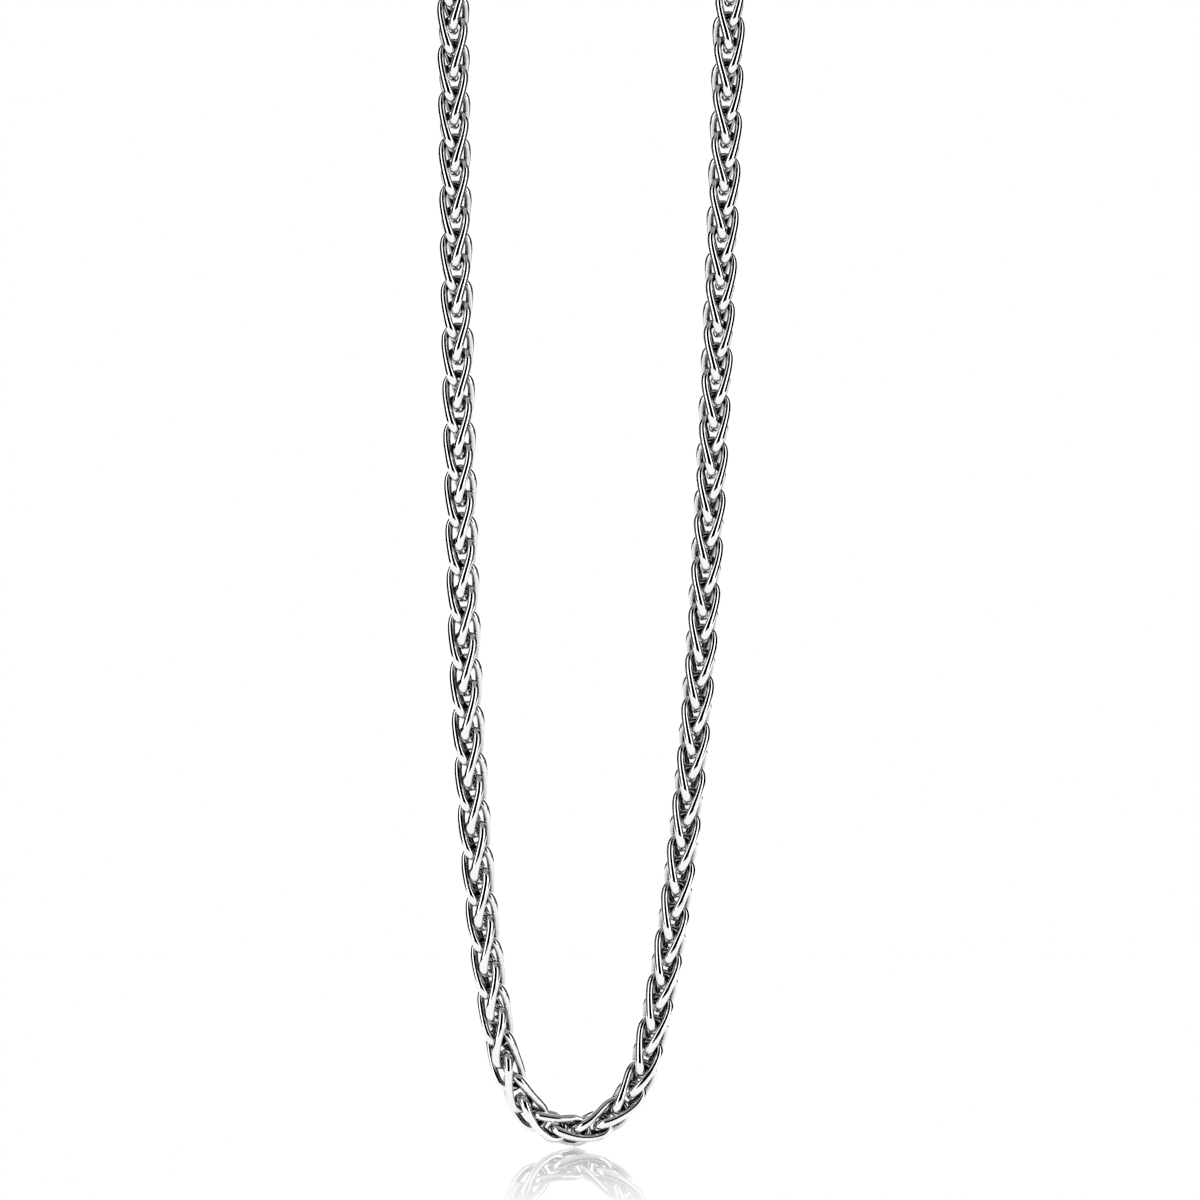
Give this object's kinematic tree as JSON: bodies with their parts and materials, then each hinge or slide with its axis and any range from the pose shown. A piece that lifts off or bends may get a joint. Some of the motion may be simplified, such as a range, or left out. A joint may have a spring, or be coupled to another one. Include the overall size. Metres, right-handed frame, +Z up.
{
  "type": "braided chain necklace",
  "caption": "Polished silver wheat chain necklace: one closed loop of twisted interlocking wire links, hanging free from a plain barrel clasp at the nape.",
  "frame": {"origin": "underside of the clasp at the top of the loop, where the necklace hangs", "axes": "+Z up along the hanging loop, +X to the right in the front view, front of the loop towards -Y"},
  "size_m": [0.0392, 0.0042, 0.2072],
  "materials": {
    "chain_silver": "mirror-polished silver wire, darker in the gaps between the links",
    "clasp_silver": "polished silver"
  },
  "bodies": {
    "root": {"chain_left": "chain_silver", "chain_right": "chain_silver", "clasp": "clasp_silver"}
  },
  "joints": []
}
